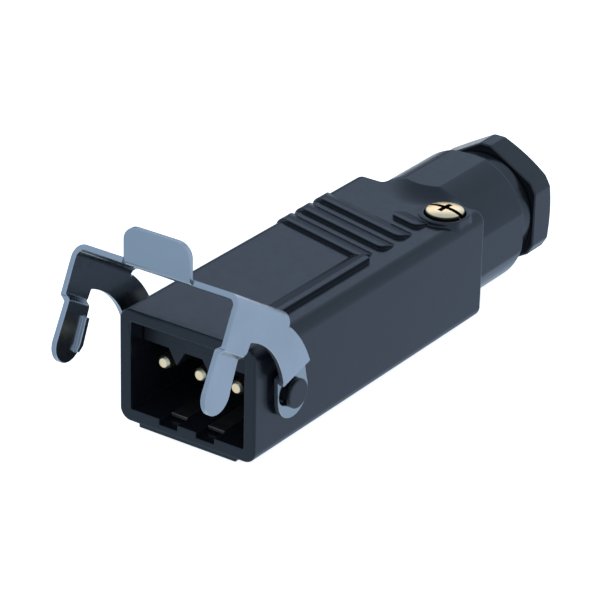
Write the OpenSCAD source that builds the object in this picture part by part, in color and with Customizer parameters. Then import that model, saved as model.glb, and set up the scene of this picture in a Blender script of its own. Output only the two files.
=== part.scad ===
// Rectangular cable plug with three round contact pins, a protective earth
// contact in the floor of the mating opening, a screwed cable gland and a
// folded sheet-metal locking clip that swings on two moulded pivots.
//
// Frame: X across, Y from the mating face to the cable gland, Z up.
// The origin is the centre of the mating opening, in the plane of its rim.
// Units: millimetres.

/* [Housing] */
// Width of the rectangular housing
body_w = 28; // [27.8:0.1:28.6]
// Height of the rectangular housing
body_h = 20.9; // [20.7:0.1:21.3]
// Length of the rectangular housing
body_l = 69.7; // [69.3:0.1:71]
// Radius of the four long edges
edge_r = 2.2; // [1.2:0.1:2.8]
// Width of the mating opening
open_w = 23.4; // [23.3:0.1:23.6]
// Height of the mating opening
open_h = 16.14; // [16.1:0.02:16.4]
// Width of the raised pad under the housing
pad_w = 20.2; // [14:0.2:22]
// Height of the raised pad under the housing
pad_t = 0.7; // [0.3:0.1:1]

/* [Grip ribs] */
// Height of the ribs above the top face
rib_t = 0.7; // [0.4:0.05:1.2]
// Width of each rib, front to rear
rib_w = 2.9; // [2:0.1:3.4]
// Spacing of the ribs
rib_pitch = 5.6; // [5:0.02:6]
// Slant of the ribs across the housing, in degrees
rib_slant = 14; // [8:0.5:16]

/* [Gland] */
// Outer radius of the round neck
neck_r = 12.8; // [12.6:0.05:13]
// Distance across the two side flats of the neck
neck_flats = 24.4; // [23.8:0.1:24.8]
// Outer radius of the gland thread
thread_r = 9.25; // [9:0.05:9.4]
// Running clearance of the nut on the thread
thread_gap = 0.05; // [0.03:0.01:0.08]
// Distance across the flats of the gland nut
nut_af = 22.66; // [22:0.02:23.4]
// Distance across the truncated corners of the gland nut
nut_corners = 24.88; // [24:0.02:25.4]
// Radius of the cable hole in the gland nut
cable_r = 5.6; // [5.4:0.1:6]

/* [Contacts] */
// Spacing of the three contact pins
pin_pitch = 7.55; // [7.4:0.05:7.7]
// Diameter of the contact pins
pin_d = 2.5; // [2:0.1:2.6]
// Distance of the pin tips behind the rim
pin_tip_y = 3.46; // [2:0.02:6]
// Thickness of the earth contact sheet
earth_t = 0.6; // [0.4:0.05:0.7]

/* [Locking clip] */
// Thickness of the clip's sheet metal
clip_t = 1; // [0.8:0.05:1.1]
// Outer radius of the bends between the strap and the cheeks
clip_bend = 2.2; // [1.8:0.1:2.4]
// Half of the clip's overall width
clip_half = 16.7; // [16.65:0.05:17]
// Inward step of the tongues and ears
clip_step = 1.05; // [0.95:0.05:1.1]
// Downward slope of the strap towards the rear, in degrees
strap_tilt = 31.6; // [31:0.1:32.2]
// Depth of the strap from front to rear
strap_l = 17; // [16.6:0.1:17.2]
// Width of the thumb tab
tab_w = 13.4; // [10:0.2:14]
// Height of the thumb tab above its bend
tab_h = 5.95; // [4:0.05:8]

/* [Hidden] */
$fn = 64;
eps = 0.01;

// colours as seen
c_shell  = [0.20, 0.22, 0.26];
c_insert = [0.15, 0.17, 0.20];
c_brass  = [0.86, 0.80, 0.62];
c_steel  = [0.62, 0.70, 0.78];
c_rubber = [0.10, 0.10, 0.11];

// housing
top_z    = body_h/2;
floor_z  = -open_h/2;
cav_end  = 66;                 // rear end of the rectangular cavity
pad_l    = 66;
groove_z = floor_z - 1.08;     // floor of the two earth grooves
groove_x = [1.95, 5.7];        // near and far wall of each groove
neck_end = 86.2;
neck_top = 12.3;               // height of the flat pad on the neck
neck_bot = -(body_h/2 + pad_t);
collar_r = 10.8;
collar_end = 91.1;
rail_x = 9.25;                 // right side of the rail
rail_t = rib_t + 0.15;         // height of the rail above the top face
spigot_end = 96;
pass_r   = 7;                  // cable passage behind the cavity
seal_y   = 85;                 // seat of the gland seal
seal_r   = 7.6;                // radius of the seal pocket

// retaining screw
scr_x = 9.4;  scr_y = 63.3;
scr_head_r = 3.5;
scr_head_z = [9.9, 12.35];     // underside and top of the screw head
scr_r = 1.45;
scr_turn = -4;                 // direction of the slot, degrees from X
boss_r = 4.7;
boss_z = 11.3;

// pivots of the clip
piv_y = 8.5;  piv_z = 0.3;
piv_r = 2.05;
piv_gap = 0.05;
piv_head_r = 2.6;
piv_head = [15.8, 16.75];      // inner and outer face of the pivot head

// insert
ins_w = open_w - 0.3;
ins_h = open_h - 0.3;
ins_front = 3.5;               // front face of the upper ledge
ins_face = 20;                 // face the pins stand out of
ins_end = 49.2;
ledge_z = 3.6;                 // underside of the ledge
pin_z = 0.45;
barrel_r = 2.5;
seat_r = 1.65;                 // shoulder of the pins in the insert's face
barrel = [23.5, 47];
term_y = 41;                   // position of the terminal screws
wire_r = 1.5;
earth_z = -4.4;                // height of the earth screw
earth_top = floor_z + 0.02;    // upper face of the earth tongues

// gland nut
nut_y = [91.4, 98.4];
nut_wall = 96.5;               // inner face of the nut's end wall

// clip
ci = clip_half - clip_t;       // inner face of the cheeks
si = ci - clip_step;           // inner face of the tongues and ears
so = si + clip_t;
strap_y = -7.8; strap_z = 24.5; // upper front edge of the strap
u_y = cos(strap_tilt); u_z = -sin(strap_tilt);
v_y = -sin(strap_tilt); v_z = -cos(strap_tilt);
// [y, z] of a point u along the strap and v below it, and the reverse as [v, u]
function uv(u, v) = [strap_y + u*u_y + v*v_y, strap_z + u*u_z + v*v_z];
function vu(p) = [(p[0] - strap_y)*v_y + (p[1] - strap_z)*v_z, (p[0] - strap_y)*u_y + (p[1] - strap_z)*u_z];
ear_tilt = -14.7;              // slope of the step above the ears
ear_a = [4.4, 3.55];           // front end of that step
ear_l = 7.44;
ear_r = 4.1;
ear_c = [8.55, -0.2];
eye_f = [7.25, 0.62];          // front end of the pivot eye
arch_c = [-10.5, 0.95]; arch_r = 15.08;
arm_c = [-9.05, -3.0];  arm_r = 22.34;
tab_r = 2.6;
tab_u = 1.4;                   // where the tab's bend begins on the strap
tab_x = -6.9;                  // left end of the tab
slit = 0.9;                    // relief slit at its right end
lip_h = 0.7;                   // height of the lip on the tongues
front_lean = 0.5;              // set-back of the cheeks' front edge at the step
tab_in = 0.6;                  // inner radius of the tab's bend

// ---------------------------------------------------------------- helpers
// cylinder along Y from y0 to y1
module rod_y(r, y0, y1) { translate([0, y0, 0]) rotate([-90, 0, 0]) cylinder(r = r, h = y1 - y0); }
// solid of revolution about Y from a profile of [radius, y]
module turn_y(profile) { rotate([-90, 0, 0]) rotate_extrude() polygon(profile); }
// outline in the YZ plane, given thickness from x0 to x1
module plate_x(x0, x1) { translate([x0, 0, 0]) rotate([90, 0, 90]) linear_extrude(x1 - x0) children(); }
// outline in the XY plane, from z0 to z1
module plate_z(z0, z1) { translate([0, 0, z0]) linear_extrude(z1 - z0) children(); }
module pair_x() { children(); mirror([1, 0, 0]) children(); }

// bar along Y with four rounded long edges
module round_bar(w, h, l, r) {
    translate([-w/2 + r, 0, -h/2]) cube([w - 2*r, l, h]);
    translate([-w/2, 0, -h/2 + r]) cube([w, l, h - 2*r]);
    for (sx = [-1, 1], sz = [-1, 1])
        translate([sx*(w/2 - r), 0, sz*(h/2 - r)]) rod_y(r, 0, l);
}

// slot outline between two points
module capsule(a, b, r) {
    d = b - a;  l = norm(d);  t = atan2(d[1], d[0]);
    translate(a) circle(r);
    translate(b) circle(r);
    translate(a) rotate(t) translate([0, -r]) square([l, 2*r]);
}

// ---------------------------------------------------------------- housing
module rib(y0, x0, x1) {
    // raised bar whose front edge crosses X = 0 at y0
    r = rib_w/2*cos(rib_slant);
    k = tan(rib_slant);
    a = [x0 + r, y0 + rib_w/2 - (x0 + r)*k];
    b = [x1 - r, y0 + rib_w/2 - (x1 - r)*k];
    // kept within an outline that follows the rounded left edge of the housing
    intersection() {
        plate_z(top_z - 3.4, top_z + rib_t) capsule(a, b, r);
        translate([5, 0, -5]) round_bar(38.2, 2*(5 + top_z + rib_t), body_l, 2.75);
    }
}

module grip() {
    for (i = [0:2]) rib(41.2 + i*rib_pitch, -17, i == 0 ? 9.1 : 9.4);
    rib(41.2 + 3*rib_pitch, 1.5, 9.3);
    // rail along the right of the flat field
    plate_z(top_z - 2, top_z + rail_t) capsule([rail_x - rib_w/2, 8.5], [rail_x - rib_w/2, 40], rib_w/2);
}

module neck() {
    intersection() {
        turn_y([[0, 60], [9.4, 60], [9.4, 63.9], [neck_r, 70], [neck_r, neck_end - 0.8], [neck_r - 0.1, neck_end - 0.4],
                [neck_r - 0.3, neck_end - 0.12], [neck_r - 0.58, neck_end], [0, neck_end]]);
        translate([-neck_flats/2, 60, neck_bot]) cube([neck_flats, 30, neck_top - neck_bot]);
    }
    turn_y([[0, neck_end - 0.3], [collar_r, neck_end - 0.3], [collar_r, collar_end - 0.2], [collar_r - 0.2, collar_end],
            [thread_r - 0.8, collar_end], [thread_r - 0.8, collar_end + 0.5], [thread_r, collar_end + 1.1],
            [thread_r, spigot_end - 0.5], [thread_r - 0.5, spigot_end], [0, spigot_end]]);
}

module pivots() {
    pair_x() translate([0, piv_y, piv_z]) rotate([0, 90, 0]) {
        translate([0, 0, body_w/2 - 1]) cylinder(r = piv_r, h = piv_head[1] - body_w/2 + 0.5);
        translate([0, 0, piv_head[0]]) cylinder(r = piv_head_r, h = piv_head[1] - piv_head[0] - 0.25);
        translate([0, 0, piv_head[1] - 0.25]) cylinder(r1 = piv_head_r, r2 = piv_head_r - 0.25, h = 0.25);
    }
}

module housing() {
    color(c_shell) difference() {
        union() {
            round_bar(body_w, body_h, body_l, edge_r);
            translate([-pad_w/2, 0, neck_bot]) cube([pad_w, pad_l, pad_t + 1]);
            neck();
            grip();
            translate([scr_x, scr_y, top_z - 2]) cylinder(r = boss_r, h = boss_z - top_z + 2);
            intersection() {
                pivots();
                cube([2*piv_head[1], 400, 400], center = true);
            }
        }
        // mating opening and chamber for the insert
        translate([-open_w/2, -1, floor_z]) cube([open_w, cav_end + 1, open_h]);
        // two grooves and a cross pocket for the earth contact
        for (s = [-1, 1])
            translate([s > 0 ? groove_x[0] : -groove_x[1], -1, groove_z])
                cube([groove_x[1] - groove_x[0], 48, 2]);
        translate([-groove_x[1], 41.5, groove_z]) cube([2*groove_x[1], 10.5, 2]);
        // screw hole and counterbore
        translate([scr_x, scr_y, 0]) cylinder(r = scr_r + 0.25, h = 12);
        translate([scr_x, scr_y, scr_head_z[0]]) cylinder(r = scr_head_r + 0.25, h = 3);
        // cable passage and seal pocket
        rod_y(pass_r, cav_end - 1, seal_y + 1);
        rod_y(seal_r, seal_y, spigot_end + 1);
    }
}

// ----------------------------------------------------------------- insert
// coding tooth under the ledge, pointing down
module tooth(x0, xt, x1) {
    translate([0, ins_face + 0.5, 0]) rotate([90, 0, 0]) linear_extrude(ins_face + 0.5 - ins_front)
        polygon([[x0, ledge_z + 0.5], [x0, ledge_z], [xt, 0.75], [x1, ledge_z], [x1, ledge_z + 0.5]]);
}

module contact_insert() {
    color(c_insert) difference() {
        union() {
            translate([-ins_w/2, ins_front, ledge_z]) cube([ins_w, ins_end - ins_front, ins_h/2 - ledge_z]);
            translate([-ins_w/2, ins_face, -ins_h/2]) cube([ins_w, ins_end - ins_face, ins_h]);
            tooth(-6.4, -4.7, -3.0);
            tooth(0.6, 2.5, 4.4);
            // leg that takes the retaining screw
            translate([7, ins_end - 1, 3.4]) cube([ins_w/2 - 7, 66 - ins_end + 0.8, ins_h/2 - 3.4]);
        }
        for (i = [-1:1]) translate([i*pin_pitch, 0, pin_z]) {
            rod_y(seat_r + 0.05, ins_face - 1, 30);
            rod_y(barrel_r + 0.05, 22, ins_end + 1);
            translate([0, term_y, 0]) cylinder(r = 2.5, h = 9);
        }
        translate([0, 0, earth_z]) rod_y(1.55, 39.5, ins_end + 1);
        translate([scr_x, scr_y, 3]) cylinder(r = scr_r + 0.03, h = 6);
    }
}

// --------------------------------------------------------------- contacts
// turned pin with a terminal barrel; i = -1, 0, 1
module contact_pin(i) {
    color(c_brass) translate([i*pin_pitch, 0, pin_z]) difference() {
        turn_y([[0, pin_tip_y], [pin_d/2 - 0.4, pin_tip_y], [pin_d/2, pin_tip_y + 0.55], [pin_d/2, ins_face - 0.1],
                [seat_r, ins_face - 0.1], [seat_r, 22.2], [2.0, 22.2], [2.0, barrel[0] - 0.6], [barrel_r, barrel[0]], [barrel_r, barrel[1] - 0.3],
                [barrel_r - 0.3, barrel[1]], [0, barrel[1]]]);
        rod_y(wire_r, 35.5, barrel[1] + 1);
        translate([0, term_y, 0]) cylinder(r = 1.5, h = 5);
    }
}
module contact_pin_left()   { contact_pin(-1); }
module contact_pin_centre() { contact_pin(0); }
module contact_pin_right()  { contact_pin(1); }

// thin strip between the wire and the terminal screw
module wire_guard(i) {
    color(c_steel) translate([i*pin_pitch - 1, 36, pin_z + 0.5]) cube([2, 10.6, 0.35]);
}
module wire_guard_left()   { wire_guard(-1); }
module wire_guard_centre() { wire_guard(0); }
module wire_guard_right()  { wire_guard(1); }

// slotted cheese-head screw standing on the strip
module terminal_screw(i) {
    color(c_steel) translate([i*pin_pitch, term_y, 0]) difference() {
        union() {
            translate([0, 0, pin_z + 0.85]) cylinder(r = 1.45, h = 2.6);
            translate([0, 0, 3.3]) cylinder(r = 2.3, h = 1.7);
            translate([0, 0, 5.0]) cylinder(r1 = 2.3, r2 = 2.0, h = 0.3);
        }
        translate([-0.35, -3, 4.4]) cube([0.7, 6, 2]);
    }
}
module terminal_screw_left()   { terminal_screw(-1); }
module terminal_screw_centre() { terminal_screw(0); }
module terminal_screw_right()  { terminal_screw(1); }

// ------------------------------------------------------------------ earth
module earth_contact() {
    color(c_steel) difference() {
        union() {
            for (s = [-1, 1])
                translate([s > 0 ? 2.1 : -5.55, 3.2, earth_top - earth_t]) cube([3.45, 46, earth_t]);
            translate([-5.55, 42, earth_top - earth_t]) cube([11.1, 7.95, earth_t]);
            translate([-3.4, ins_end + 0.1, earth_top - earth_t]) cube([6.8, earth_t, -1.2 - earth_top + earth_t]);
        }
        translate([0, 0, earth_z]) rod_y(1.6, ins_end - 1, ins_end + 3);
    }
}

module earth_clamp_washer() {
    y = ins_end + 0.1 + earth_t;
    color(c_steel) translate([0, 0, earth_z]) difference() {
        rod_y(2.9, y, y + 0.6);
        rod_y(1.6, y - 1, y + 2);
    }
}

module earth_terminal_screw() {
    y = ins_end + 0.7 + earth_t;
    color(c_steel) translate([0, 0, earth_z]) difference() {
        union() {
            rod_y(1.5, 40.2, y + 0.1);
            turn_y([[0, y], [2.6, y], [2.6, y + 1.4], [2.2, y + 1.9], [0, y + 1.9]]);
        }
        translate([-3, y + 0.9, -0.35]) cube([6, 3, 0.7]);
    }
}

// --------------------------------------------------------- retaining screw
module retaining_screw() {
    r = scr_head_r;  z0 = scr_head_z[0];  z1 = scr_head_z[1];
    color(c_brass) translate([scr_x, scr_y, 0]) difference() {
        union() {
            translate([0, 0, 3.8]) cylinder(r = scr_r, h = z0 - 3.8 + 0.2);
            translate([0, 0, z0]) rotate_extrude()
                polygon([[0, 0], [r, 0], [r, z1 - z0 - 0.85], [r - 0.2, z1 - z0 - 0.58], [r - 0.7, z1 - z0 - 0.3], [r - 1.5, z1 - z0 - 0.1], [r - 2.6, z1 - z0], [0, z1 - z0]]);
        }
        // slot and cross recess
        rotate(scr_turn) translate([-5, -0.4, z1 - 1.1]) cube([10, 0.8, 2]);
        rotate(scr_turn) translate([-0.4, -1.9, z1 - 1.3]) cube([0.8, 3.8, 2]);
        rotate(scr_turn) translate([-1.9, -0.4, z1 - 1.3]) cube([3.8, 0.8, 2]);
    }
}

// ------------------------------------------------------------------ gland
module gland_seal() {
    color(c_rubber) difference() {
        turn_y([[0, seal_y + 0.05], [7.0, seal_y + 0.05], [7.5, seal_y + 0.6], [7.5, 94.8], [0, 94.8]]);
        rod_y(5, seal_y - 1, 96);
    }
}

module thrust_ring() {
    color(c_shell) difference() {
        rod_y(7.5, 94.85, 96.35);
        rod_y(5.4, 94, 97);
    }
}

module gland_nut() {
    color(c_shell) difference() {
        intersection() {
            translate([0, nut_y[0], 0]) rotate([-90, 0, 0]) intersection() {
                rotate(30) cylinder(r = nut_af/2/cos(30), h = nut_y[1] - nut_y[0], $fn = 6);
                cylinder(r = nut_corners/2/cos(30), h = nut_y[1] - nut_y[0], $fn = 6);
            }
            // cone that rounds off the rear corners
            turn_y([[0, 90], [13.4, 90], [13.4, 96.3], [9.2, nut_y[1]], [0, nut_y[1]]]);
        }
        rod_y(thread_r + thread_gap, nut_y[0] - 1, nut_wall);
        turn_y([[0, nut_y[0] - 0.1], [thread_r + 0.8, nut_y[0] - 0.1], [thread_r + 0.8, nut_y[0]], [thread_r, nut_y[0] + 0.8], [0, nut_y[0] + 0.8]]);
        rod_y(cable_r, nut_wall - 1, nut_y[1] + 1);
    }
}

// ------------------------------------------------------------ locking clip
// places children so that their X, Y, Z run along X, down from the strap
// and rearwards along it
module on_strap() { translate([0, strap_y, strap_z]) rotate([-(90 + strap_tilt), 0, 0]) children(); }

// cross-section of the strap and its two bends, in [x, depth]
module strap_section() {
    x = clip_half - clip_bend;
    translate([-x, 0]) square([2*x, clip_t]);
    for (s = [-1, 1]) translate([s*x, clip_bend]) intersection() {
        difference() { circle(clip_bend); circle(clip_bend - clip_t); }
        translate([s > 0 ? 0 : -clip_bend, -clip_bend]) square([clip_bend, clip_bend]);
    }
    for (s = [-1, 1]) translate([s > 0 ? ci : -clip_half, clip_bend]) square([clip_t, 1.2]);
}

// point on the upper edge of the ears' step, e along it and w below it, as [v, u]
function on_ear(e, w) = vu([ear_a[0] + e*cos(ear_tilt) - w*sin(ear_tilt), ear_a[1] - e*sin(ear_tilt) - w*cos(ear_tilt)]);

// outline of one cheek, in [depth below the strap, distance along it]
module cheek_outline() {
    difference() {
        intersection() {
            polygon([[2.7, 3], [2.9, 16.6], [1.7, 18.5], [1.7, 27], on_ear(16, -0.6), on_ear(-9, -0.6), [24, 3]]);
            translate(vu(arm_c)) circle(arm_r);
        }
        translate(vu(arch_c)) circle(arch_r);
    }
    // front plate, with its rounded lower corner
    polygon([[2.6, 0], [2.6, 7.25], [8.05, 7.25], [8.05, 6.4], [8.4, 6.4], [8.4, front_lean], [3.6, 0]]);
    translate([8.05, 6.4]) circle(0.85);
}

// inward step between two parallel layers, in [x, depth], d thinner on each face
module step_section(d = 0) {
    k = clip_step*0.72;
    polygon([[clip_half - d, -0.8], [clip_half - d, 0], [so - d, k], [so - d, 1.8],
        [si + d, 1.8], [si + d, k - 0.4], [ci + d, -0.4], [ci + d, -0.8]]);
}

module tongue() {
    r = 3.45;
    on_strap() {
        plate_x(si, so) {
            translate([16.15, 4.5]) circle(r);
            polygon([[9.9, 0.62], [9.9, 6.8], [16.15, 4.45 + r], [16.15, 4.55 - r]]);
        }
        translate([0, 9, front_lean + 0.05]) linear_extrude(6.35) step_section();
        // stiffening lip along the rear edge, turned inwards
        plate_x(si - lip_h, si + 0.5)
            polygon([[11.2, 5.9], [11.2, 6.95], [15.9, 7.75], [17.2, 7.2], [17.2, 6.3], [15.9, 6.6]]);
    }
}

module ear() {
    plate_x(si, so) difference() {
        union() {
            translate(ear_c) circle(ear_r);
            intersection() {
                polygon([[ear_c[0] - ear_r + 0.04, ear_c[1]], [4.55, 3.0], [12.0, 4.6], [ear_c[0] + ear_r - 0.04, ear_c[1]]]);
                translate(ear_a) rotate(-ear_tilt) translate([-2, -10.9]) square([14, 10]);
            }
        }
        translate([piv_y, piv_z]) circle(piv_r + piv_gap);
        capsule(eye_f, [piv_y, piv_z], piv_r + piv_gap - 0.1);
    }
    translate([0, ear_a[0], ear_a[1]]) rotate([-(90 + ear_tilt), 0, 0])
        linear_extrude(ear_l) step_section(0.03);
}

// tab bent up from the strap's front edge, as one profile in [depth, distance]
module thumb_tab() {
    n = 8;
    bend = 90 - strap_tilt;
    function spoke(r, f) = [r*cos(f) - tab_in, tab_u - r*sin(f)];
    rise = [-tab_h*sin(bend), -tab_h*cos(bend)];
    x1 = tab_x + tab_w;
    z1 = uv(tab_u, -tab_in)[1] + tab_h;
    difference() {
        on_strap() plate_x(tab_x, x1) polygon(concat(
            [[0, tab_u + 1]],
            [for (i = [0:n]) spoke(tab_in, bend*i/n)],
            [spoke(tab_in, bend) + rise, spoke(tab_in + clip_t, bend) + rise],
            [for (i = [n:-1:0]) spoke(tab_in + clip_t, bend*i/n)],
            [[clip_t, tab_u + 1]]));
        // rounded upper corners
        for (s = [0, 1]) translate([s > 0 ? x1 - tab_r : tab_x + tab_r, 0, z1 - tab_r]) rotate([90, 0, 0])
            linear_extrude(40, center = true) difference() {
                translate([s > 0 ? 0 : -tab_r - 1, 0]) square(tab_r + 1);
                translate([s > 0 ? 0.02 : -0.02, 0.02]) circle(tab_r);
            }
    }
}

module locking_clip() {
    color(c_steel) union() {
        difference() {
            on_strap() linear_extrude(strap_l) strap_section();
            // gap in the front edge where the tab is bent up
            on_strap() translate([tab_x, -1, -1]) cube([tab_w + slit, 4, tab_u + 1]);
        }
        thumb_tab();
        pair_x() {
            on_strap() plate_x(ci, clip_half) cheek_outline();
            tongue();
            ear();
        }
    }
}

housing();
contact_insert();
contact_pin_left();
contact_pin_centre();
contact_pin_right();
wire_guard_left();
wire_guard_centre();
wire_guard_right();
terminal_screw_left();
terminal_screw_centre();
terminal_screw_right();
earth_contact();
earth_clamp_washer();
earth_terminal_screw();
retaining_screw();
gland_seal();
thrust_ring();
gland_nut();
locking_clip();
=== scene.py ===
import math

import bmesh
import bpy
import numpy as np
from mathutils import Matrix, Vector
from mathutils.geometry import delaunay_2d_cdt


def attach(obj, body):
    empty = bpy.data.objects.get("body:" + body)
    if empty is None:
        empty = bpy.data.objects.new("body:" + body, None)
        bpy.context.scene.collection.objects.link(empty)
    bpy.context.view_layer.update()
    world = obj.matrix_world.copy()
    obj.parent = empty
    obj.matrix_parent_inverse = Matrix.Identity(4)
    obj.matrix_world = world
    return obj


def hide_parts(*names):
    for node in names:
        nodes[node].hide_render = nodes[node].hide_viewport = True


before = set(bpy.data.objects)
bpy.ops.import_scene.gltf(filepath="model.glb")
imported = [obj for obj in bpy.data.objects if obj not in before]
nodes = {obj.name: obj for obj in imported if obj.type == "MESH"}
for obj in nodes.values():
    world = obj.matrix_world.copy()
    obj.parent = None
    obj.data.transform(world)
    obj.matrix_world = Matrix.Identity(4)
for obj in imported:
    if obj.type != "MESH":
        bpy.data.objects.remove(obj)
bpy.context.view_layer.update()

MM = 0.001

# ---------------------------------------------------------------- distance fields
# Every rebuilt piece is a distance field in millimetres, so that edges get
# real radii and joins get real fillets, and a surface net turns it into a mesh.


def both(a, b, r):
    """Intersection of two fields, with its edge rounded to radius r."""
    return np.minimum(-r, np.maximum(a, b)) + np.sqrt(np.maximum(r + a, 0) ** 2 + np.maximum(r + b, 0) ** 2)


def join(a, b, r):
    """Union of two fields, with a fillet of radius r in the corner."""
    return np.maximum(r, np.minimum(a, b)) - np.sqrt(np.maximum(r - a, 0) ** 2 + np.maximum(r - b, 0) ** 2)


def less(a, b, r):
    return both(a, -b, r)


def rect(x, z, hx, hz, r):
    """Rounded rectangle about the origin."""
    qx, qz = np.abs(x) - (hx - r), np.abs(z) - (hz - r)
    return np.minimum(np.maximum(qx, qz), 0) + np.sqrt(np.maximum(qx, 0) ** 2 + np.maximum(qz, 0) ** 2) - r


def block(x, y, z, lo, hi, r):
    """Box between two corners with all edges rounded."""
    q = [np.abs(v - (a + b) / 2) - ((b - a) / 2 - r) for v, a, b in zip((x, y, z), lo, hi)]
    out = np.sqrt(np.maximum(q[0], 0) ** 2 + np.maximum(q[1], 0) ** 2 + np.maximum(q[2], 0) ** 2)
    return out + np.minimum(np.maximum(np.maximum(q[0], q[1]), q[2]), 0) - r


def slab(v, a, b):
    return np.abs(v - (a + b) / 2) - (b - a) / 2


def rod(a, b, r, v, v0, v1, e):
    """Cylinder of radius r about a = b = 0, from v0 to v1, edges rounded by e."""
    return both(np.sqrt(a * a + b * b) - r, slab(v, v0, v1), e)


def capsule(x, y, a, b, r):
    """Flat slot outline between two points."""
    dx, dy = b[0] - a[0], b[1] - a[1]
    t = np.clip(((x - a[0]) * dx + (y - a[1]) * dy) / (dx * dx + dy * dy), 0, 1)
    return np.sqrt((x - a[0] - t * dx) ** 2 + (y - a[1] - t * dy) ** 2) - r


def poly(x, y, pts):
    """Signed distance to a closed polygon."""
    d = None
    inside = None
    n = len(pts)
    for i in range(n):
        (ax, ay), (bx, by) = pts[i], pts[(i + 1) % n]
        ex, ey = bx - ax, by - ay
        wx, wy = x - ax, y - ay
        t = np.clip((wx * ex + wy * ey) / (ex * ex + ey * ey), 0, 1)
        q = (wx - t * ex) ** 2 + (wy - t * ey) ** 2
        d = q if d is None else np.minimum(d, q)
        c = ((ay <= y) != (by <= y)) & (((bx - ax) * (y - ay) / ((by - ay) if by != ay else 1e-9) + ax) > x)
        inside = c if inside is None else inside ^ c
    return np.where(inside, -1.0, 1.0) * np.sqrt(d)


def smooth(t):
    t = np.clip(t, 0, 1)
    return t * t * (3 - 2 * t)


# ---------------------------------------------------------------- surface net
def lines(*parts):
    """Grid lines from stretches of (start, end, step)."""
    out = []
    for a, b, h in parts:
        n = max(1, int(math.ceil((b - a) / h - 1e-6)))
        out += [a + (b - a) * i / n for i in range(n)]
    out.append(parts[-1][1])
    return np.array(out)


def mirrored(*parts):
    p = lines(*parts)
    p = p[p > 1e-9]
    return np.concatenate([-p[::-1], [0.0], p])


def net(field, xs, ys, zs):
    """Vertices and quads of the zero surface of a field on a rectilinear grid."""
    axes = (xs, ys, zs)
    f32 = [a.astype(np.float32) for a in axes]
    d = field(f32[0][:, None, None], f32[1][None, :, None], f32[2][None, None, :])
    d = np.ascontiguousarray(np.broadcast_to(d, tuple(len(a) for a in axes)))
    s = d < 0
    c = np.zeros(tuple(n - 1 for n in s.shape), np.int8)
    for i in (0, 1):
        for j in (0, 1):
            for k in (0, 1):
                c += s[i:i + c.shape[0], j:j + c.shape[1], k:k + c.shape[2]]
    live = (c > 0) & (c < 8)
    cell = np.argwhere(live)
    index = np.full(live.shape, -1, np.int32)
    index[live] = np.arange(len(cell))
    total = np.zeros((len(cell), 3))
    count = np.zeros(len(cell))
    for ax in range(3):
        o1, o2 = [o for o in range(3) if o != ax]
        for i in (0, 1):
            for j in (0, 1):
                a = cell.copy()
                a[:, o1] += i
                a[:, o2] += j
                b = a.copy()
                b[:, ax] += 1
                da = d[a[:, 0], a[:, 1], a[:, 2]].astype(float)
                db = d[b[:, 0], b[:, 1], b[:, 2]].astype(float)
                m = (da < 0) != (db < 0)
                t = da[m] / (da[m] - db[m])
                p = np.stack([axes[o][a[m, o]] for o in range(3)], 1)
                p[:, ax] += t * (axes[ax][b[m, ax]] - axes[ax][a[m, ax]])
                total[m] += p
                count[m] += 1
    v = total / count[:, None]
    lo = np.stack([axes[o][cell[:, o]] for o in range(3)], 1)
    hi = np.stack([axes[o][cell[:, o] + 1] for o in range(3)], 1)
    for _ in range(4):
        g = slope(field, v)
        step = (at(field, v) / np.maximum((g * g).sum(1), 0.25))[:, None] * g
        v = np.clip(v - step, lo, hi)
    quads = []
    for ax in range(3):
        o1, o2 = [(1, 2), (2, 0), (0, 1)][ax]
        a = np.argwhere(np.take(s, range(0, s.shape[ax] - 1), ax) != np.take(s, range(1, s.shape[ax]), ax))
        ok = (a[:, o1] > 0) & (a[:, o2] > 0) & (a[:, o1] < s.shape[o1] - 1) & (a[:, o2] < s.shape[o2] - 1)
        a = a[ok]
        ring = []
        for i, j in ((1, 1), (0, 1), (0, 0), (1, 0)):
            q = a.copy()
            q[:, o1] -= i
            q[:, o2] -= j
            ring.append(index[q[:, 0], q[:, 1], q[:, 2]])
        q = np.stack(ring, 1)
        turn = ~s[a[:, 0], a[:, 1], a[:, 2]]
        q[turn] = q[turn][:, ::-1]
        quads.append(q)
    return v, np.concatenate(quads)


def at(field, v):
    return np.asarray(field(v[:, 0], v[:, 1], v[:, 2]), float)


def slope(field, v, h=0.004):
    out = np.zeros_like(v)
    for k in range(3):
        e = np.zeros(3)
        e[k] = h
        out[:, k] = (at(field, v + e) - at(field, v - e)) / (2 * h)
    return out


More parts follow.
